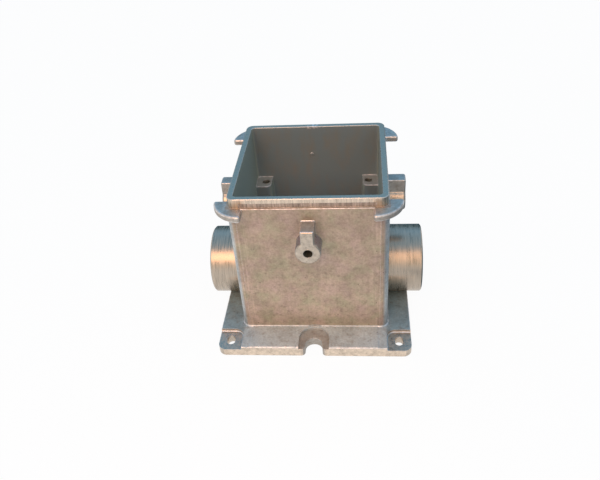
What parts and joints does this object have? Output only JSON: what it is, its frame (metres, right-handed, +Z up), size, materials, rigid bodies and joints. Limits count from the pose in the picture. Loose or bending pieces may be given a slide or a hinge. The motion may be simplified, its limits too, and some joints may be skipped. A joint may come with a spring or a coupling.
{
  "type": "die cast housing",
  "caption": "Open-topped square cast aluminium box on a slotted mounting flange, with threaded side entries, drilled wall bosses and corner clamping lugs below a machined rim.",
  "frame": {"origin": "centre of the flange's underside", "axes": "+Z up through the open top, +X along the axis of the entry spigots, +Y from the front wall to the back wall"},
  "size_m": [0.1512, 0.1424, 0.114],
  "materials": {
    "cast_aluminium": "as-cast matt skin, satin machined rim and entry spigots"
  },
  "bodies": {
    "root": {"housing": "cast_aluminium"}
  },
  "joints": []
}
